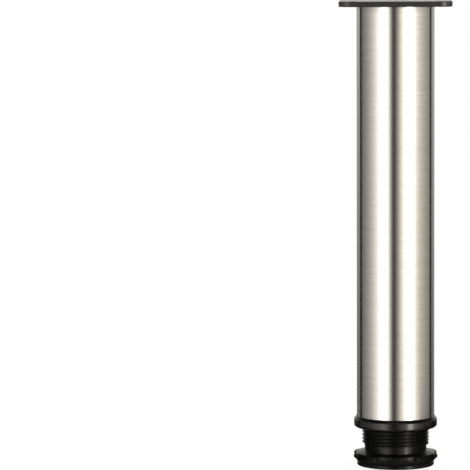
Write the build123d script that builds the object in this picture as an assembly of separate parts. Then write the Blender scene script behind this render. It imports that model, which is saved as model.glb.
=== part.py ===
import math
import os

from build123d import *

# Adjustable furniture leg: a mounting plate on a round tube, and a foot that screws in and out of the tube.
# Sizes are in millimetres. The leg stands on the floor at the origin, its axis along Z and its front to -Y.

# Whole leg, with the foot wound out as pictured
leg_height = 300.0
foot_gap = 16.4

# Tube
tube_diameter = 50.0
tube_wall = 0.8

# Mounting plate, with screw holes countersunk from below
plate_side = 72.0
plate_thickness = 3.5
plate_corner_radius = 8.0
plate_edge_bevel = 0.5
screw_spacing = 54.0
screw_hole_diameter = 5.2
screw_head_diameter = 9.6

# Countersunk bolt and nut that hold the plate to the plug
bolt_diameter = 6.0
bolt_length = 25.0
bolt_head_diameter = 12.0
bolt_head_rim = 0.3
bolt_head_sink = 0.2
bolt_key_width = 4.0
bolt_key_depth = 2.0
bolt_overrun = 2.0
nut_width = 10.0
nut_height = 5.0

# Plug pressed into the tube's upper end
plug_top = 3.0
plug_wall = 2.0
plug_boss_diameter = 18.0
plug_skirt_overhang = 4.0
plug_web_count = 6
plug_web_thickness = 1.8
nut_pocket_spare = 0.5

# Socket pressed into the tube's lower end, with a collar round the tube
collar_overhang = 1.8
collar_height = 7.2
collar_floor = 2.2
collar_lip = 0.4
collar_bevel_height = 2.6
collar_lower_radius = 1.8
sleeve_length = 30.0
sleeve_wall = 2.25
socket_thread_length = 4.2
socket_entry_chamfer = 1.0

# Right-hand thread, as wide as the sleeve's wall leaves room for, with flat upper flanks that carry the load
thread_pitch = 2.3
thread_depth = 1.5
thread_crest_width = 0.45
thread_upper_angle = 8.0
thread_lower_angle = 40.0
thread_engagement = 0.8
thread_flank_clearance = 0.2
thread_crest_clearance = 0.25
thread_relief = 0.15

# Screw foot, from the flange up. The flange stands out past the collar, and is undercut down to the pad.
flange_overhang = 0.4
undercut_depth = 2.6
undercut_height = 2.65
rim_height = 3.1
rim_width = 3.5
rim_edge_bevel = 0.4
shoulder_height = 0.85
neck_length = 3.45
neck_relief = 0.1
stem_engaged_length = 6.0
stem_lead_in = 1.0
foot_wall = 2.6
foot_floor = 2.4

# Notches round the flange, to turn the foot by
notch_count = 10
notch_angle = 20.5
notch_depth = 1.6
notch_floor = 0.3
front_rib_angle = 1.4

# Base pad with a split pin that snaps into the foot's floor
pad_overhang = 0.25
pad_thickness = 2.6
pad_edge_bevel = 0.3
pin_diameter = 8.0
pin_lip = 0.7
pin_lip_height = 1.2
pin_tip_height = 1.6
pin_tip_inset = 0.6
pin_slot_width = 1.4
pin_slot_root = 0.5

# Clearances
press_clearance = 0.05
seat_clearance = 0.1
pin_clearance = 0.08
pin_end_clearance = 0.15

# Cutters start this far outside what they cut. A thread's cutters reach less, so that its turns stay apart.
cut_reach = 1.0
thread_cut_reach = 0.1

# Radii that follow
tube_outer = tube_diameter / 2
tube_inner = tube_outer - tube_wall
sleeve_radius = tube_inner - press_clearance
bolt_radius = bolt_diameter / 2
bolt_head_radius = bolt_head_diameter / 2
collar_diameter = tube_diameter + 2 * collar_overhang
collar_radius = collar_diameter / 2
socket_relief = sleeve_radius - sleeve_wall
socket_major = socket_relief - thread_relief
thread_diameter = 2 * (socket_major - thread_crest_clearance)
thread_radius = thread_diameter / 2
thread_root = thread_radius - thread_depth
thread_upper_slope = math.tan(math.radians(thread_upper_angle))
thread_lower_slope = math.tan(math.radians(thread_lower_angle))
socket_minor = thread_radius - thread_engagement
flange_diameter = collar_diameter + 2 * flange_overhang
flange_radius = flange_diameter / 2
flange_base_diameter = flange_diameter - 2 * undercut_depth
neck_radius = thread_root - neck_relief
foot_bore = neck_radius - foot_wall
pad_diameter = flange_base_diameter + 2 * pad_overhang
pad_radius = pad_diameter / 2
pin_radius = pin_diameter / 2

# Levels that follow, from the floor up
rim_bottom = pad_thickness + undercut_height
rim_top = rim_bottom + rim_height
shoulder_top = rim_top + shoulder_height
thread_start = shoulder_top + neck_length
ridge_start = thread_start - thread_crest_width / 2
collar_bottom = rim_top + foot_gap
tube_bottom = collar_bottom + collar_floor
collar_top = collar_bottom + collar_height
socket_thread_top = collar_bottom + socket_thread_length
stem_top = collar_bottom + stem_engaged_length
sleeve_top = tube_bottom + sleeve_length
foot_floor_top = pad_thickness + foot_floor
plate_bottom = leg_height - plate_thickness
bolt_top = leg_height - bolt_head_sink
bolt_end = bolt_top - bolt_length
bolt_head_bottom = bolt_top - bolt_head_rim - (bolt_head_radius - bolt_radius)
nut_bottom = bolt_end + bolt_overrun
nut_top = nut_bottom + nut_height
boss_bottom = nut_bottom - nut_pocket_spare
plug_bottom = boss_bottom - plug_skirt_overhang
plug_ceiling = plate_bottom - plug_top


def turned(outline, rounded=()):
    # A solid of revolution from (radius, height) corners. rounded lists corners with their radii.
    profile = make_face(Polyline(*outline, close=True))
    for (radius, height), rounding in rounded:
        corner = profile.vertices().sort_by_distance((radius, height, 0))[0]
        profile = fillet(corner, rounding)
    return revolve(Plane.XZ * profile, Axis.Z)


def shaft(radius, low, high):
    return turned([(0, low), (radius, low), (radius, high), (0, high)])


def hexagon(width, low, high):
    outline = RegularPolygon(width / 2, 6, major_radius=False)
    return Pos(0, 0, low) * extrude(outline, high - low)


def ridge_edges(radius):
    # Heights of the stem ridge's lower and upper flanks at a radius, from the middle of its crest
    depth = thread_radius - radius
    crest_half = thread_crest_width / 2
    return -crest_half - depth * thread_lower_slope, crest_half + depth * thread_upper_slope


def helix_cutter(section, rise):
    # A cutter that climbs by rise from the +X side. section has (radius, height) corners about its middle.
    outline = Plane.XZ * make_face(Polyline(*section, close=True))
    return sweep(outline, path=Helix(thread_pitch, rise, thread_radius), is_frenet=True)


def thread_turns(section, low, high):
    # Cutters for a helical groove, one for each turn
    turn = helix_cutter(section, thread_pitch)
    count = math.ceil((high - low) / thread_pitch)
    return [Pos(0, 0, low + number * thread_pitch) * turn for number in range(count)]


def make_mounting_plate():
    outline = RectangleRounded(plate_side, plate_side, plate_corner_radius)
    plate = Pos(0, 0, plate_bottom) * extrude(outline, plate_thickness)
    levels = plate.edges().group_by(Axis.Z)
    plate = chamfer(levels[0] + levels[-1], plate_edge_bevel)

    hole = screw_hole_diameter / 2
    head = screw_head_diameter / 2
    screw_hole = turned(
        [
            (0, plate_bottom - cut_reach),
            (head + cut_reach, plate_bottom - cut_reach),
            (hole, plate_bottom + head - hole),
            (hole, leg_height + cut_reach),
            (0, leg_height + cut_reach),
        ]
    )
    seat = bolt_radius + seat_clearance
    seat_low = bolt_head_bottom - seat_clearance
    seat_high = leg_height + cut_reach
    bolt_hole = turned(
        [
            (0, plate_bottom - cut_reach),
            (seat, plate_bottom - cut_reach),
            (seat, seat_low),
            (seat + seat_high - seat_low, seat_high),
            (0, seat_high),
        ]
    )
    screw_places = GridLocations(screw_spacing, screw_spacing, 2, 2)
    return plate - [place * screw_hole for place in screw_places] - bolt_hole


def make_plate_bolt():
    bolt = turned(
        [
            (0, bolt_end),
            (bolt_radius, bolt_end),
            (bolt_radius, bolt_head_bottom),
            (bolt_head_radius, bolt_top - bolt_head_rim),
            (bolt_head_radius, bolt_top),
            (0, bolt_top),
        ]
    )
    return bolt - hexagon(bolt_key_width, bolt_top - bolt_key_depth, leg_height + cut_reach)


def make_captive_nut():
    hole = shaft(bolt_radius + press_clearance, nut_bottom - cut_reach, nut_top + cut_reach)
    return hexagon(nut_width, nut_bottom, nut_top) - hole


def make_top_plug():
    skirt_inner = sleeve_radius - plug_wall
    boss_radius = plug_boss_diameter / 2
    plug = turned(
        [
            (0, plug_ceiling),
            (skirt_inner, plug_ceiling),
            (skirt_inner, plug_bottom),
            (sleeve_radius, plug_bottom),
            (sleeve_radius, plate_bottom),
            (0, plate_bottom),
        ]
    )
    plug += shaft(boss_radius, boss_bottom, plate_bottom)
    web_low = (nut_bottom + nut_top) / 2
    web = Box(
        sleeve_radius - plug_wall / 2,
        plug_web_thickness,
        plug_ceiling - web_low,
        align=(Align.MIN, Align.CENTER, Align.MIN),
    )
    plug += [Pos(0, 0, web_low) * turn * web for turn in PolarLocations(0, plug_web_count)]
    plug -= shaft(bolt_radius + seat_clearance, boss_bottom - cut_reach, leg_height)
    return plug - hexagon(nut_width + 2 * seat_clearance, boss_bottom - cut_reach, nut_top)


def make_tube():
    return turned(
        [
            (tube_inner, tube_bottom),
            (tube_outer, tube_bottom),
            (tube_outer, plate_bottom),
            (tube_inner, plate_bottom),
        ]
    )


def make_threaded_socket():
    lip_inner = tube_outer + press_clearance
    lower_edge = (collar_radius, collar_bottom)
    socket = turned(
        [
            (socket_minor + socket_entry_chamfer, collar_bottom),
            lower_edge,
            (collar_radius, collar_top - collar_bevel_height),
            (tube_outer + collar_lip, collar_top),
            (lip_inner, collar_top),
            (lip_inner, tube_bottom),
            (sleeve_radius, tube_bottom),
            (sleeve_radius, sleeve_top),
            (socket_relief, sleeve_top),
            (socket_relief, socket_thread_top + socket_relief - socket_minor),
            (socket_minor, socket_thread_top),
            (socket_minor, collar_bottom + socket_entry_chamfer),
        ],
        rounded=[(lower_edge, collar_lower_radius)],
    )

    # The inside groove runs half a pitch above the stem's groove, so that the stem's ridge lies in its middle.
    inner = socket_minor - thread_cut_reach
    inner_low, inner_high = ridge_edges(inner)
    outer_low, outer_high = ridge_edges(socket_major)
    section = [
        (inner, inner_low - thread_flank_clearance),
        (socket_major, outer_low - thread_flank_clearance),
        (socket_major, outer_high + thread_flank_clearance),
        (inner, inner_high + thread_flank_clearance),
    ]
    turns_below = math.floor((collar_bottom - thread_start) / thread_pitch - 1.5) + 0.5
    low = thread_start + turns_below * thread_pitch
    return socket - thread_turns(section, low, socket_thread_top + thread_pitch)


def notch_cutters():
    ring = Circle(flange_radius + cut_reach) - Circle(flange_radius - notch_depth)
    length = 2 * flange_radius
    half_width = length * math.tan(math.radians(notch_angle / 2))
    wedge = make_face(Polyline((0, 0), (length, -half_width), (length, half_width), close=True))
    low = rim_bottom + notch_floor
    cutter = Pos(0, 0, low) * extrude(ring & wedge, shoulder_top - low + cut_reach)
    step = 360 / notch_count
    first = front_rib_angle - 90 + step / 2
    return [Rot(0, 0, first + number * step) * cutter for number in range(notch_count)]


def make_screw_foot():
    hole = pin_radius + pin_clearance
    foot = turned(
        [
            (hole, pad_thickness),
            (flange_base_diameter / 2, pad_thickness),
            (flange_radius, rim_bottom),
            (flange_radius, rim_top - rim_edge_bevel),
            (flange_radius - rim_edge_bevel, rim_top),
            (flange_radius - rim_width, rim_top),
            (neck_radius, shoulder_top),
            (neck_radius, ridge_start),
            (thread_radius, ridge_start),
            (thread_radius, stem_top - stem_lead_in),
            (thread_radius - stem_lead_in, stem_top),
            (foot_bore, stem_top),
            (foot_bore, foot_floor_top),
            (hole, foot_floor_top),
        ]
    )
    foot -= notch_cutters()

    # The groove lies between one ridge's upper flank and the next one's lower flank.
    outer = thread_radius + thread_cut_reach
    half_pitch = thread_pitch / 2
    root_low, root_high = ridge_edges(thread_root)
    outer_low, outer_high = ridge_edges(outer)
    upper_side = [(outer, half_pitch + outer_low), (thread_root, half_pitch + root_low)]
    section = [(thread_root, root_high - half_pitch), (outer, outer_high - half_pitch), *upper_side]
    foot -= thread_turns(section, thread_start + thread_pitch, stem_top + thread_pitch)

    # The first turn is cleared down to the neck, so that the ridge starts square on the +X side, as moulded.
    cleared = ridge_start - thread_start - thread_pitch - thread_cut_reach
    section = [(thread_root, cleared), (outer, cleared), *upper_side]
    half_turn = Pos(0, 0, thread_start) * helix_cutter(section, half_pitch)
    return foot - [half_turn, Pos(0, 0, half_pitch) * Rot(0, 0, 180) * half_turn]


def make_base_pad():
    lip_bottom = foot_floor_top + pin_end_clearance
    lip_top = lip_bottom + pin_lip_height
    pin_top = lip_top + pin_tip_height
    pad = turned(
        [
            (0, 0),
            (pad_radius - pad_edge_bevel, 0),
            (pad_radius, pad_edge_bevel),
            (pad_radius, pad_thickness - pad_edge_bevel),
            (pad_radius - pad_edge_bevel, pad_thickness),
            (pin_radius, pad_thickness),
            (pin_radius, lip_bottom),
            (pin_radius + pin_lip, lip_bottom),
            (pin_radius + pin_lip, lip_top),
            (pin_radius - pin_tip_inset, pin_top),
            (0, pin_top),
        ]
    )
    slot_low = pad_thickness + pin_slot_root
    slot = Pos(0, 0, slot_low) * Box(
        2 * pin_diameter,
        pin_slot_width,
        pin_top - slot_low + cut_reach,
        align=(Align.CENTER, Align.CENTER, Align.MIN),
    )
    return pad - slot - Rot(0, 0, 90) * slot


makers = {
    "mounting_plate": make_mounting_plate,
    "plate_bolt": make_plate_bolt,
    "captive_nut": make_captive_nut,
    "top_plug": make_top_plug,
    "tube": make_tube,
    "threaded_socket": make_threaded_socket,
    "screw_foot": make_screw_foot,
    "base_pad": make_base_pad,
}

os.makedirs("parts", exist_ok=True)
for node, make in makers.items():
    export_step(make(), f"parts/{node}.step")
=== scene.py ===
import math

import bmesh
import bpy
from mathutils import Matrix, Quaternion, Vector


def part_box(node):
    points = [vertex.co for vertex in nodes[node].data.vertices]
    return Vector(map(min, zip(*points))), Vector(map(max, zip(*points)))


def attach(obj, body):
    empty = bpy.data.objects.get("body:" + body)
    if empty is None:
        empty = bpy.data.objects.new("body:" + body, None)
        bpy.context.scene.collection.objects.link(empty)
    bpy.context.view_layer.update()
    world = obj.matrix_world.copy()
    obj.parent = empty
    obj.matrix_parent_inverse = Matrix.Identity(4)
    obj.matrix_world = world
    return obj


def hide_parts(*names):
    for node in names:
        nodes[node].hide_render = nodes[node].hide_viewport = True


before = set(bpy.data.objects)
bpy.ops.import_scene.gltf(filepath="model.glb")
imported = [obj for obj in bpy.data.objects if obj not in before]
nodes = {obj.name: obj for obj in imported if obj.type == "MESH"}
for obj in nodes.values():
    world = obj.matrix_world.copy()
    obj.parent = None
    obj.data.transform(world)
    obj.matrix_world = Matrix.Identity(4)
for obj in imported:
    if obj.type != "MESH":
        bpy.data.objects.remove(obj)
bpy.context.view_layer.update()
scene = bpy.context.scene
scene.view_settings.view_transform = "Standard"

mm = 0.001
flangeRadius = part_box("screw_foot")[1].x
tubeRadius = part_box("tube")[1].x
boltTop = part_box("plate_bolt")[1].z
print("frame loaded:", ", ".join(sorted(nodes)))


# small helpers

def deselectAll():
    if bpy.context.object and bpy.context.object.mode != "OBJECT":
        bpy.ops.object.mode_set(mode="OBJECT")
    bpy.ops.object.select_all(action="DESELECT")


def addNode(tree, kind, **settings):
    node = tree.nodes.new(kind)
    for name, value in settings.items():
        setattr(node, name, value)
    return node


def setInputs(node, values):
    for name, value in values.items():
        node.inputs[name].default_value = value


def addMath(tree, operation, first, second=None):
    node = addNode(tree, "ShaderNodeMath", operation=operation)
    for socket, value in zip(node.inputs, (first, second)):
        if isinstance(value, bpy.types.NodeSocket):
            tree.links.new(value, socket)
        elif value is not None:
            socket.default_value = value
    return node.outputs[0]


def addMapRange(tree, value, fromMin, fromMax, toMin, toMax, smooth=False):
    node = addNode(tree, "ShaderNodeMapRange", interpolation_type="SMOOTHSTEP" if smooth else "LINEAR")
    tree.links.new(value, node.inputs["Value"])
    setInputs(node, {"From Min": fromMin, "From Max": fromMax, "To Min": toMin, "To Max": toMax})
    return node.outputs["Result"]


def addMix(tree, factor, first, second):
    node = addNode(tree, "ShaderNodeMix", data_type="RGBA")
    tree.links.new(factor, node.inputs["Factor"])
    for name, value in (("A", first), ("B", second)):
        socket = next(s for s in node.inputs if s.name == name and s.type == "RGBA")
        if isinstance(value, bpy.types.NodeSocket):
            tree.links.new(value, socket)
        else:
            socket.default_value = (*value, 1)
    return next(s for s in node.outputs if s.type == "RGBA")


def addScaled(tree, colour, amount):
    node = addNode(tree, "ShaderNodeVectorMath", operation="SCALE")
    if isinstance(colour, bpy.types.NodeSocket):
        tree.links.new(colour, node.inputs[0])
    else:
        node.inputs[0].default_value = colour
    tree.links.new(amount, node.inputs["Scale"])
    return node.outputs[0]


def addSum(tree, first, second):
    node = addNode(tree, "ShaderNodeVectorMath", operation="ADD")
    tree.links.new(first, node.inputs[0])
    tree.links.new(second, node.inputs[1])
    return node.outputs[0]


def newGroup(name, inputs, outputs):
    group = bpy.data.node_groups.new(name, "ShaderNodeTree")
    for label, default in inputs:
        socket = group.interface.new_socket(label, in_out="INPUT", socket_type="NodeSocketFloat")
        socket.default_value = default
    for label, kind in outputs:
        group.interface.new_socket(label, in_out="OUTPUT", socket_type=kind)
    return group, group.nodes.new("NodeGroupInput"), group.nodes.new("NodeGroupOutput")


def useGroup(tree, group, values):
    node = addNode(tree, "ShaderNodeGroup", node_tree=group)
    setInputs(node, values)
    return node


# studio: what the metal mirrors all round, as one lit surround
# angles are in degrees out from the front, where the camera stands

studio = {
    "fill": (0.070, 0.071, 0.063),
    "softboxes": [
        {
            "side": -1,
            "innerEdge": 6.0,
            "brightest": 36.0,
            "fallOff": 27.0,
            "peak": 3.65,
            "lowEnd": 0.6,
            "topEnd": (22, 8),
            "tint": (1, 0.955, 0.915),
        },
        {
            "side": 1,
            "innerEdge": -4.8,
            "brightest": 38.0,
            "fallOff": 38.0,
            "peak": 3.42,
            "lowEnd": 0.2,
            "topEnd": (22, 8),
            "tint": (1, 0.935, 0.85),
        },
        {
            "side": 1,
            "innerEdge": 30.0,
            "brightest": 43.0,
            "fallOff": 6.0,
            "peak": 10.5,
            "lowEnd": 0.6,
            "topEnd": (12, 2),
            "tint": (1, 0.965, 0.82),
        },
    ],
    # a box dims downwards from the first elevation here, and has its lowEnd left at the second
    # upwards it has ended at the first elevation of its topEnd, and is still full at the second
    "sinkSpan": (6, -24),
    "flagInner": 122.0,              # dark flags draw the tube's two edges
    "flagOuter": 131.0,
    "flagFeather": 3.0,
    "flagTurn": 1.5,
    "flagShade": 0.05,               # share of the front's light that is left on them and behind
    "room": (0.42, 0.42, 0.405),     # grey room between the flags, behind
    "roomRise": (-12.5, -1.5),       # elevation where the room begins, and where it is full
    "roomSpan": (140.0, 180.0),      # it gets lighter towards the middle
    "roomMiddle": 1.4,
    "backdrop": (1.15, 1.15, 1.13),  # white paper behind, above the floor's far edge
    "backdropRise": (0, 3),          # elevation where the paper begins, and where it is full
    "backdropTop": (14, 8),          # where it has ended again, and where it is still full
    "overhead": (0.90, 0.90, 0.89),  # straight above
    "overheadRise": (62, 82),
    "below": (0.32, 0.32, 0.31),     # straight below
    "belowRise": (-35, -60),
}


def addElevationMask(tree, height, span):
    low, high = (math.sin(math.radians(degrees)) for degrees in span)
    return addMapRange(tree, height, low, high, 0, 1, smooth=True)


def addSoftbox(tree, degrees, height, box):
    out = addMath(tree, "MULTIPLY", degrees, box["side"])
    rise = addMapRange(tree, out, box["innerEdge"], box["brightest"], 0, box["peak"], smooth=True)
    past = addMath(tree, "MAXIMUM", addMath(tree, "SUBTRACT", out, box["brightest"]), 0.0)
    fade = addMath(tree, "EXPONENT", addMath(tree, "DIVIDE", past, -box["fallOff"]))
    sunk = addElevationMask(tree, height, studio["sinkSpan"])
    shine = addMath(tree, "MULTIPLY", rise, fade)
    shine = addMath(tree, "MULTIPLY", shine, addMapRange(tree, sunk, 0, 1, 1, box["lowEnd"]))
    shine = addMath(tree, "MULTIPLY", shine, addElevationMask(tree, height, box["topEnd"]))
    return addScaled(tree, box["tint"], shine)


def buildWorld():
    world = bpy.data.worlds.new("studio")
    scene.world = world
    world.use_nodes = True
    tree = world.node_tree
    tree.nodes.clear()
    coordinates = addNode(tree, "ShaderNodeTexCoord")
    split = addNode(tree, "ShaderNodeSeparateXYZ")
    tree.links.new(coordinates.outputs["Generated"], split.inputs[0])
    x, y, z = split.outputs
    around = addMath(tree, "ARCTAN2", x, addMath(tree, "MULTIPLY", y, -1.0))
    degrees = addMath(tree, "DEGREES", around)

    fill = addNode(tree, "ShaderNodeRGB")
    fill.outputs[0].default_value = (*studio["fill"], 1)
    light = fill.outputs[0]
    for box in studio["softboxes"]:
        light = addSum(tree, light, addSoftbox(tree, degrees, z, box))

    back = addMath(tree, "ABSOLUTE", addMath(tree, "SUBTRACT", degrees, studio["flagTurn"]))
    inner, outer, feather = studio["flagInner"], studio["flagOuter"], studio["flagFeather"]
    flagged = addMapRange(tree, back, inner - feather, inner, 1, studio["flagShade"], smooth=True)
    light = addScaled(tree, light, flagged)
    behind = addMapRange(tree, back, outer, outer + feather, 0, 1, smooth=True)
    roomSeen = addMath(tree, "MULTIPLY", behind, addElevationMask(tree, z, studio["roomRise"]))
    middle = addMapRange(tree, back, *studio["roomSpan"], 1, studio["roomMiddle"], smooth=True)
    roomSeen = addMath(tree, "MULTIPLY", roomSeen, middle)
    light = addSum(tree, light, addScaled(tree, studio["room"], roomSeen))

    paper = addMath(tree, "MULTIPLY", behind, addElevationMask(tree, z, studio["backdropRise"]))
    paper = addMath(tree, "MULTIPLY", paper, addElevationMask(tree, z, studio["backdropTop"]))
    light = addMix(tree, paper, light, studio["backdrop"])
    light = addMix(tree, addElevationMask(tree, z, studio["overheadRise"]), light, studio["overhead"])
    light = addMix(tree, addElevationMask(tree, z, studio["belowRise"]), light, studio["below"])

    surround = addNode(tree, "ShaderNodeBackground")
    tree.links.new(light, surround.inputs["Color"])
    white = addNode(tree, "ShaderNodeBackground")
    white.inputs["Color"].default_value = (1, 1, 1, 1)
    path = addNode(tree, "ShaderNodeLightPath")
    choose = addNode(tree, "ShaderNodeMixShader")
    tree.links.new(path.outputs["Is Camera Ray"], choose.inputs["Fac"])
    tree.links.new(surround.outputs[0], choose.inputs[1])
    tree.links.new(white.outputs[0], choose.inputs[2])
    output = addNode(tree, "ShaderNodeOutputWorld")
    tree.links.new(choose.outputs[0], output.inputs["Surface"])


floorSetup = {
    "size": 40.0,
    "paint": (0.8, 0.8, 0.8),             # what lights the leg from below
    "shadowPaint": (0.24, 0.24, 0.24),    # what the camera sees, on top of a white glow
    "glow": 0.93,
}


def buildFloor():
    deselectAll()
    bpy.ops.mesh.primitive_plane_add(size=floorSetup["size"], location=(0, 0, 0))
    floor = bpy.context.object
    floor.name = "studio_floor"
    floor.visible_glossy = False
    material = bpy.data.materials.new("floor_white")
    material.use_nodes = True
    tree = material.node_tree
    tree.nodes.clear()
    bounce = addNode(tree, "ShaderNodeBsdfDiffuse")
    bounce.inputs["Color"].default_value = (*floorSetup["paint"], 1)
    shadowed = addNode(tree, "ShaderNodeBsdfDiffuse")
    shadowed.inputs["Color"].default_value = (*floorSetup["shadowPaint"], 1)
    glow = addNode(tree, "ShaderNodeEmission")
    glow.inputs["Strength"].default_value = floorSetup["glow"]
    seen = addNode(tree, "ShaderNodeAddShader")
    tree.links.new(shadowed.outputs[0], seen.inputs[0])
    tree.links.new(glow.outputs[0], seen.inputs[1])
    path = addNode(tree, "ShaderNodeLightPath")
    choose = addNode(tree, "ShaderNodeMixShader")
    tree.links.new(path.outputs["Is Camera Ray"], choose.inputs["Fac"])
    tree.links.new(bounce.outputs[0], choose.inputs[1])
    tree.links.new(seen.outputs[0], choose.inputs[2])
    output = addNode(tree, "ShaderNodeOutputMaterial")
    tree.links.new(choose.outputs[0], output.inputs["Surface"])
    floor.data.materials.append(material)


# dark cards lie on the floor beside the foot, seen only in reflections: a painted dark reflection on the
# tube's lower end and the foot, standing in for shade on the floor there

shadeReflectionCards = {
    "spans": [                          # metres across, and from front to back
        ((0.05, 0.20), (-0.045, 0.16)),
        ((-0.13, -0.045), (-0.045, 0.08)),
    ],
    "lift": 0.0004,
    "shade": (0.01, 0.01, 0.01),
    "hiddenFrom": ("camera", "diffuse", "transmission", "volume_scatter", "shadow"),
}


def buildShadeReflectionCards():
    material = bpy.data.materials.new("painted_reflection_black")
    material.use_nodes = True
    tree = material.node_tree
    tree.nodes.clear()
    paint = addNode(tree, "ShaderNodeBsdfDiffuse")
    paint.inputs["Color"].default_value = (*shadeReflectionCards["shade"], 1)
    output = addNode(tree, "ShaderNodeOutputMaterial")
    tree.links.new(paint.outputs[0], output.inputs["Surface"])
    for number, ((left, right), (front, back)) in enumerate(shadeReflectionCards["spans"]):
        deselectAll()
        bpy.ops.mesh.primitive_plane_add(size=1, location=(0, 0, 0))
        card = bpy.context.object
        card.name = f"painted_reflection_card_{number}"
        bpy.ops.object.mode_set(mode="EDIT")
        bpy.ops.mesh.select_all(action="SELECT")
        bpy.ops.transform.resize(value=(right - left, back - front, 1))
        bpy.ops.transform.translate(value=((left + right) / 2, (front + back) / 2, shadeReflectionCards["lift"]))
        bpy.ops.object.mode_set(mode="OBJECT")
        # hidden from all but glossy rays, so the cards give only this painted dark reflection and no real
        # shade
        for kind in shadeReflectionCards["hiddenFrom"]:
            setattr(card, "visible_" + kind, False)
        card.data.materials.append(material)


cameraSetup = {
    "place": (0, -2.15, 0.3644),
    "aim": (-0.1034, 0, 0.14896),    # left of the leg, which stands at the right of the picture
    "rollDegrees": -0.283,
    "lens": 256.9,
    "sensorWidth": 36,
    "farClip": 100,
}


def buildCamera():
    deselectAll()
    bpy.ops.object.camera_add(location=cameraSetup["place"])
    camera = bpy.context.object
    camera.name = "photo_camera"
    aim = Vector(cameraSetup["aim"]) - camera.location
    roll = Quaternion((0, 0, 1), math.radians(cameraSetup["rollDegrees"]))
    camera.rotation_euler = (aim.to_track_quat("-Z", "Y") @ roll).to_euler()
    camera.data.sensor_width = cameraSetup["sensorWidth"]
    camera.data.lens = cameraSetup["lens"]
    camera.data.clip_end = cameraSetup["farClip"]
    scene.camera = camera


buildWorld()
buildFloor()
buildShadeReflectionCards()
buildCamera()
print("studio, floor and camera set")


# shared effects

grainNoise = {
    "grain": {"Detail": 2.0, "Roughness": 0.6},
    "cloud": {"Detail": 3.0, "Roughness": 0.55},
    "cloudShare": 0.05,    # clouds to each grain, so they are 20 times as wide
}


def makeFineGrain():
    group, inside, outside = newGroup(
        "fineGrain",
        [("Grains per metre", 2500.0)],
        [("Height", "NodeSocketFloat"), ("Cloud", "NodeSocketFloat")],
    )
    place = addNode(group, "ShaderNodeTexCoord")
    grain = addNode(group, "ShaderNodeTexNoise")
    setInputs(grain, grainNoise["grain"])
    cloud = addNode(group, "ShaderNodeTexNoise")
    setInputs(cloud, grainNoise["cloud"])
    for noise in (grain, cloud):
        group.links.new(place.outputs["Object"], noise.inputs["Vector"])
    group.links.new(inside.outputs["Grains per metre"], grain.inputs["Scale"])
    wide = addMath(group, "MULTIPLY", inside.outputs["Grains per metre"], grainNoise["cloudShare"])
    group.links.new(wide, cloud.inputs["Scale"])
    group.links.new(grain.outputs[0], outside.inputs["Height"])
    group.links.new(cloud.outputs[0], outside.inputs["Cloud"])
    return group


brushNoise = {
    "fine": {"Scale": 1.0, "Detail": 2.0, "Roughness": 0.6},
    "wide": {"Scale": 0.16, "Detail": 2.0, "Roughness": 0.5},
}


def makeBrushMarks():
    group, inside, outside = newGroup(
        "brushMarks",
        [("Marks per metre", 4000.0), ("Reach per metre", 60.0)],
        [("Height", "NodeSocketFloat"), ("Tone", "NodeSocketFloat")],
    )
    place = addNode(group, "ShaderNodeTexCoord")
    stretch = addNode(group, "ShaderNodeCombineXYZ")
    group.links.new(inside.outputs["Reach per metre"], stretch.inputs["X"])
    group.links.new(inside.outputs["Reach per metre"], stretch.inputs["Y"])
    group.links.new(inside.outputs["Marks per metre"], stretch.inputs["Z"])
    scaled = addNode(group, "ShaderNodeVectorMath", operation="MULTIPLY")
    group.links.new(place.outputs["Object"], scaled.inputs[0])
    group.links.new(stretch.outputs[0], scaled.inputs[1])
    fine = addNode(group, "ShaderNodeTexNoise")
    setInputs(fine, brushNoise["fine"])
    wide = addNode(group, "ShaderNodeTexNoise")
    setInputs(wide, brushNoise["wide"])
    for noise in (fine, wide):
        group.links.new(scaled.outputs[0], noise.inputs["Vector"])
    group.links.new(fine.outputs[0], outside.inputs["Height"])
    both = addMath(group, "ADD", fine.outputs[0], wide.outputs[0])
    group.links.new(addMath(group, "MULTIPLY", both, 0.5), outside.inputs["Tone"])
    return group


fineGrain = makeFineGrain()
brushMarks = makeBrushMarks()
print("shared effects made")


# materials

def newMaterial(name, constants):
    material = bpy.data.materials.new(name)
    material.use_nodes = True
    tree = material.node_tree
    shader = tree.nodes["Principled BSDF"]
    setInputs(shader, constants)
    return material, tree, shader


def addBump(tree, shader, height, depth):
    bump = addNode(tree, "ShaderNodeBump")
    setInputs(bump, {"Strength": 1.0, "Distance": depth})
    tree.links.new(height, bump.inputs["Height"])
    tree.links.new(bump.outputs["Normal"], shader.inputs["Normal"])


brushedTube = {
    "dark": (0.63, 0.615, 0.585),
    "light": (0.67, 0.655, 0.63),
    "smoothest": 0.20,
    "roughest": 0.24,
    "toneSpan": (0.35, 0.65),    # tones of the marks that count as dark and light
    "marks": {"Marks per metre": 4000.0, "Reach per metre": 60.0},
    "markDepth": 3e-7,
    "shader": {"Metallic": 1.0, "Anisotropic": 0.9, "Anisotropic Rotation": 0.25},
}


def makeBrushedTube():
    look = brushedTube
    material, tree, shader = newMaterial("satin_brushed_steel", look["shader"])
    marks = useGroup(tree, brushMarks, look["marks"])
    tone = addMapRange(tree, marks.outputs["Tone"], *look["toneSpan"], 0, 1)
    tree.links.new(addMix(tree, tone, look["dark"], look["light"]), shader.inputs["Base Color"])
    rough = addMapRange(tree, marks.outputs["Tone"], *look["toneSpan"], look["roughest"], look["smoothest"])
    tree.links.new(rough, shader.inputs["Roughness"])
    tangent = addNode(tree, "ShaderNodeTangent", direction_type="RADIAL", axis="Z")
    tree.links.new(tangent.outputs[0], shader.inputs["Tangent"])
    addBump(tree, shader, marks.outputs["Height"], look["markDepth"])
    return material


cloudSpan = (0.3, 0.7)    # clouds that count as dark and light


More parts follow.
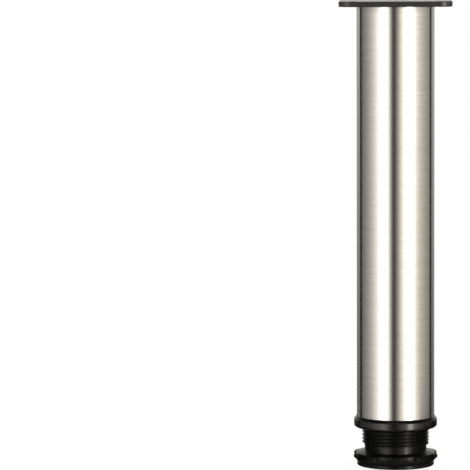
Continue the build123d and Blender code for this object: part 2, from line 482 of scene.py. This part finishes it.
def makeGrained(name, look):
    material, tree, shader = newMaterial(name, look["shader"])
    grain = useGroup(tree, fineGrain, {"Grains per metre": look["grains"]})
    shade = addMapRange(tree, grain.outputs["Cloud"], *cloudSpan, 0, 1)
    tree.links.new(addMix(tree, shade, look["dark"], look["light"]), shader.inputs["Base Color"])
    rough = addMapRange(tree, grain.outputs["Cloud"], *cloudSpan, look["roughest"], look["smoothest"])
    tree.links.new(rough, shader.inputs["Roughness"])
    addBump(tree, shader, grain.outputs["Height"], look["grainDepth"])
    return material


blackCoat = {
    "dark": (0.045, 0.045, 0.046),
    "light": (0.058, 0.058, 0.059),
    "smoothest": 0.42,
    "roughest": 0.52,
    "grains": 2200.0,
    "grainDepth": 6e-6,
    "shader": {"Specular IOR Level": 0.2, "Coat Weight": 0.5, "Coat Roughness": 0.13},
}
blackPlastic = {
    "dark": (0.0066, 0.0066, 0.0068),
    "light": (0.0096, 0.0096, 0.0098),
    "smoothest": 0.50,
    "roughest": 0.60,
    "grains": 3500.0,
    "grainDepth": 1e-6,
}
# gloss of the moulded skin: lowest is at the bottom, and a zone is (millimetres up, full from here, gloss)
collarSkin = {
    "shader": {"Specular IOR Level": 0.01, "Coat Roughness": 0.18},
    "lowest": 0.95,
    "zones": [(29.8, 30.2, 0.55)],    # duller bevel
}
footSkin = {
    "shader": {"Specular IOR Level": 0.05, "Coat Roughness": 0.17},
    "lowest": 0.17,               # dull grip round the flange
    "zones": [
        (8.12, 8.25, 0.42),       # the flange's top face
        (9.2, 9.4, 0.40),         # neck
        (12.6, 13.4, 0.24),       # thread
    ],
}
plugPlastic = {
    **blackPlastic,
    "light": (0.010, 0.010, 0.011),
    "smoothest": 0.30,
    "roughest": 0.50,
    "shader": {"Specular IOR Level": 0.3},
}
padPlastic = {
    **blackPlastic,
    "smoothest": 0.18,
    "roughest": 0.23,
    "shader": {"Specular IOR Level": 0.12},
}
zincPlate = {
    "dark": (0.50, 0.51, 0.53),
    "light": (0.60, 0.60, 0.59),
    "smoothest": 0.34,
    "roughest": 0.46,
    "grains": 3000.0,
    "grainDepth": 2e-6,
    "shader": {"Metallic": 1.0},
}


def makeMoulded(name, skin):
    material = makeGrained(name, {**blackPlastic, "shader": skin["shader"]})
    tree = material.node_tree
    place = addNode(tree, "ShaderNodeTexCoord")
    split = addNode(tree, "ShaderNodeSeparateXYZ")
    tree.links.new(place.outputs["Object"], split.inputs[0])
    gloss = before = skin["lowest"]
    for low, high, after in skin["zones"]:
        step = addMapRange(tree, split.outputs["Z"], low * mm, high * mm, 0, after - before)
        gloss = addMath(tree, "ADD", step, gloss)
        before = after
    tree.links.new(gloss, tree.nodes["Principled BSDF"].inputs["Coat Weight"])
    return material


steelMaterial = makeBrushedTube()
coatMaterial = makeGrained("black_powder_coat", blackCoat)
collarMaterial = makeMoulded("moulded_collar_plastic", collarSkin)
footMaterial = makeMoulded("moulded_foot_plastic", footSkin)
plugMaterial = makeGrained("plug_black_plastic", plugPlastic)
padMaterial = makeGrained("pad_black_plastic", padPlastic)
zincMaterial = makeGrained("bright_zinc_plate", zincPlate)

finishes = {
    "mounting_plate": coatMaterial,
    "plate_bolt": zincMaterial,
    "captive_nut": zincMaterial,
    "top_plug": plugMaterial,
    "tube": steelMaterial,
    "threaded_socket": collarMaterial,
    "screw_foot": footMaterial,
    "base_pad": padMaterial,
}
for name, material in finishes.items():
    for slot in nodes[name].material_slots:
        slot.material = material
print("materials set on", len(finishes), "pieces")


# pieces with softened edges, each on a merged copy of the solid that it stands for

copyRules = {
    "mergeWithin": 0.002 * mm,
    "flatWithin": 0.2,         # degrees, faces nearer to flat than this become one
    "smoothBelow": 27,         # degrees, sharper edges than this stay hard
    "leastRise": 0.2 * mm,     # an edge whose ends differ more in height rises up
    "near": 0.05 * mm,         # how closely a corner has to meet a level or radius
}


def radiusOf(edge):
    middle = (edge.verts[0].co + edge.verts[1].co) / 2
    return math.hypot(middle.x, middle.y)


def risesUp(edge):
    return abs(edge.verts[0].co.z - edge.verts[1].co.z) > copyRules["leastRise"]


def isConvex(edge):
    return edge.calc_face_angle_signed() > 0


def spread(corner):
    return math.hypot(corner.co.x, corner.co.y)


def shiftUp(piece, chooses, amount):
    bpy.ops.mesh.select_mode(type="VERT")
    bpy.ops.mesh.select_all(action="DESELECT")
    shape = bmesh.from_edit_mesh(piece.data)
    for corner in shape.verts:
        corner.select_set(chooses(corner))
    bmesh.update_edit_mesh(piece.data)
    bpy.ops.transform.translate(value=(0, 0, amount))
    bpy.ops.mesh.select_mode(type="EDGE")


def startCopy(node, name, shape=None):
    deselectAll()
    piece = bpy.data.objects.new(name, nodes[node].data.copy())
    bpy.context.collection.objects.link(piece)
    bpy.context.view_layer.objects.active = piece
    piece.select_set(True)
    bpy.ops.mesh.customdata_custom_splitnormals_clear()
    bpy.ops.object.mode_set(mode="EDIT")
    bpy.ops.mesh.select_mode(type="EDGE")
    bpy.ops.mesh.select_all(action="SELECT")
    bpy.ops.mesh.remove_doubles(threshold=copyRules["mergeWithin"])
    if shape:
        shape(piece)
        bpy.ops.mesh.select_all(action="SELECT")
    bpy.ops.mesh.dissolve_limited(angle_limit=math.radians(copyRules["flatWithin"]))
    return piece


def softenEdges(piece, chooses, width, segments, sharperThan=20):
    bpy.ops.mesh.select_all(action="DESELECT")
    shape = bmesh.from_edit_mesh(piece.data)
    for edge in shape.edges:
        sharp = len(edge.link_faces) == 2 and edge.calc_face_angle() > math.radians(sharperThan)
        edge.select_set(sharp and chooses(edge))
    bmesh.update_edit_mesh(piece.data)
    bpy.ops.mesh.bevel(offset=width, segments=segments, profile=0.5, affect="EDGES", clamp_overlap=True)


def finishCopy(piece, node, body):
    deselectAll()
    bpy.context.view_layer.objects.active = piece
    piece.select_set(True)
    bpy.ops.object.shade_smooth_by_angle(angle=math.radians(copyRules["smoothBelow"]))
    bpy.ops.object.modifier_add(type="WEIGHTED_NORMAL")    # keeps the flats flat beside the rounds
    piece.modifiers[-1].keep_sharp = True
    bpy.ops.object.modifier_apply(modifier=piece.modifiers[-1].name)
    piece.data.materials.clear()
    piece.data.materials.append(finishes[node])
    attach(piece, body)
    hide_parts(node)
    print(piece.name, "has", len(piece.data.polygons), "faces")


footEdges = {
    "gripReach": 1.8 * mm,     # the notched rim lies this far in from the flange's edge
    "ribRound": 0.35 * mm,
    "ringRound": 0.13 * mm,
    "topInner": 23.7 * mm,     # from here out the flange's top falls a little, as moulded
    "topDrop": 0.35 * mm,
    "topLevel": 8.35 * mm,
    "topBevel": 0.45 * mm,     # the rim's upper bevel is within this of the top
    "ringStep": 0.1 * mm,      # the first ring that falls is more than this past topInner
    "ringNear": 0.006 * mm,    # corners this close in radius are on one ring
}


def dropFlangeTop(piece):
    low = footEdges["topLevel"] - footEdges["topBevel"]
    high = footEdges["topLevel"] + copyRules["near"]
    rings = set()
    for corner in bmesh.from_edit_mesh(piece.data).verts:
        if low < corner.co.z < high and spread(corner) > footEdges["topInner"] + footEdges["ringStep"]:
            rings.add(round(spread(corner) / mm, 2))
    for ring in sorted(rings):
        share = (ring * mm - footEdges["topInner"]) / (flangeRadius - footEdges["topInner"])

        def onRing(corner):
            return low < corner.co.z < high and abs(spread(corner) - ring * mm) < footEdges["ringNear"]

        shiftUp(piece, onRing, -footEdges["topDrop"] * share)
    print("flange top falls on", len(rings), "rings")


def buildFoot():
    piece = startCopy("screw_foot", "moulded_foot", dropFlangeTop)
    gripInner = flangeRadius - footEdges["gripReach"]

    def ribSide(edge):
        return radiusOf(edge) > gripInner and risesUp(edge) and isConvex(edge)

    def ring(edge):
        return radiusOf(edge) > gripInner

    softenEdges(piece, ribSide, footEdges["ribRound"], segments=4)
    softenEdges(piece, ring, footEdges["ringRound"], segments=2, sharperThan=30)
    finishCopy(piece, "screw_foot", "foot")


collarEdges = {
    "round": 0.35 * mm,
    "lipRound": 0.10 * mm,
    "lipStart": 0.2 * mm,      # the lip's edge is between these two distances from the tube
    "lipReach": 0.8 * mm,
    "bevelLevel": 29.35 * mm,  # where the solid's bevel ends
    "bevelRise": 0.8 * mm,     # here it ends this much higher
}


def buildCollar():
    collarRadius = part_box("threaded_socket")[1].x

    def bevelFoot(corner):
        onOutside = abs(spread(corner) - collarRadius) < copyRules["near"]
        return onOutside and abs(corner.co.z - collarEdges["bevelLevel"]) < copyRules["near"]

    def onLip(edge):
        return collarEdges["lipStart"] < radiusOf(edge) - tubeRadius < collarEdges["lipReach"]

    def onBand(edge):
        return radiusOf(edge) - tubeRadius > collarEdges["lipReach"]

    def shortenBevel(piece):
        shiftUp(piece, bevelFoot, collarEdges["bevelRise"])

    piece = startCopy("threaded_socket", "moulded_collar", shortenBevel)
    softenEdges(piece, onBand, collarEdges["round"], segments=3, sharperThan=24)
    softenEdges(piece, onLip, collarEdges["lipRound"], segments=2, sharperThan=24)
    finishCopy(piece, "threaded_socket", "leg")


plateEdges = {"round": 0.16 * mm}


def buildPlate():
    piece = startCopy("mounting_plate", "coated_plate")
    softenEdges(piece, lambda edge: True, plateEdges["round"], segments=2, sharperThan=35)
    finishCopy(piece, "mounting_plate", "leg")


padEdges = {"round": 0.10 * mm, "rimWidth": 3 * mm}


def buildPad():
    piece = startCopy("base_pad", "moulded_pad")
    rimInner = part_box("base_pad")[1].x - padEdges["rimWidth"]

    def onRim(edge):
        return radiusOf(edge) > rimInner

    softenEdges(piece, onRim, padEdges["round"], segments=3, sharperThan=35)
    finishCopy(piece, "base_pad", "pad")


boltEdges = {"round": 0.10 * mm, "headDepth": 1.0 * mm}


def buildBolt():
    piece = startCopy("plate_bolt", "zinc_bolt")
    headBottom = boltTop - boltEdges["headDepth"]

    def onHead(edge):
        return min(corner.co.z for corner in edge.verts) > headBottom

    softenEdges(piece, onHead, boltEdges["round"], segments=2, sharperThan=35)
    finishCopy(piece, "plate_bolt", "leg")


buildFoot()
buildCollar()
buildPlate()
buildPad()
buildBolt()
print("softened pieces made")
